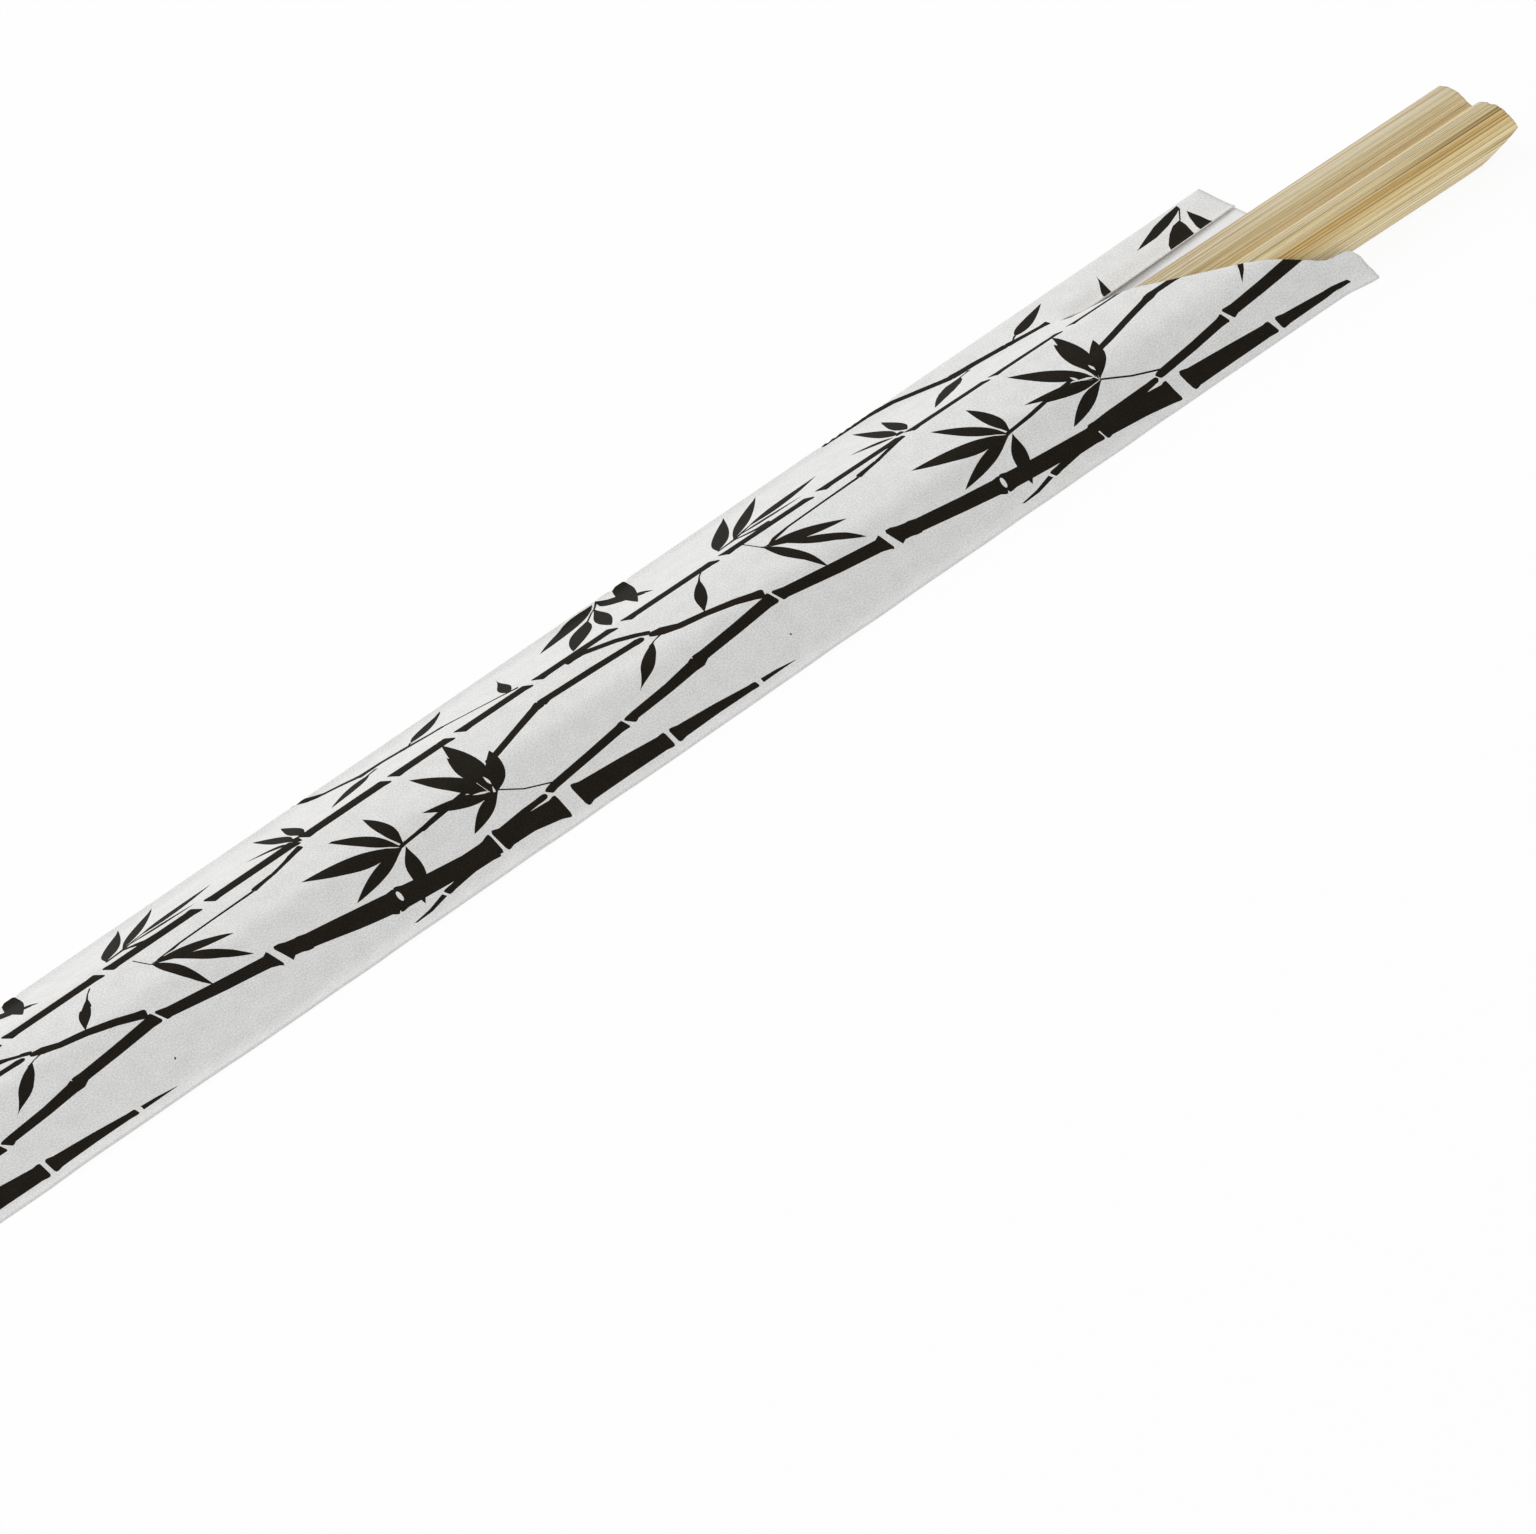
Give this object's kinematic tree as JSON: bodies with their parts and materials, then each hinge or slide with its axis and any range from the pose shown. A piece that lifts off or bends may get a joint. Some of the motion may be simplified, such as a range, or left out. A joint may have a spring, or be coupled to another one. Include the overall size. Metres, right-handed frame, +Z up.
{
  "type": "bamboo chopsticks in a paper sleeve",
  "caption": "Disposable bamboo chopsticks, joined at the head, in a flat printed paper sleeve with a thumb notch at its open end.",
  "frame": {"origin": "middle of the whole outline, on the surface that the sleeve rests on", "axes": "+X along the sleeve from its sealed tail to the bare head of the sticks, +Y towards the long side with the wide margin, +Z up"},
  "size_m": [0.2238, 0.025, 0.0052],
  "materials": {
    "sleeve_paper": "thin smooth white paper with a black bamboo-stalk print on the front",
    "bamboo": "split raw bamboo, pale straw with fine lengthwise fibres"
  },
  "bodies": {
    "root": {"paper_sleeve": "sleeve_paper", "chopstick_pair": "bamboo"}
  },
  "joints": []
}
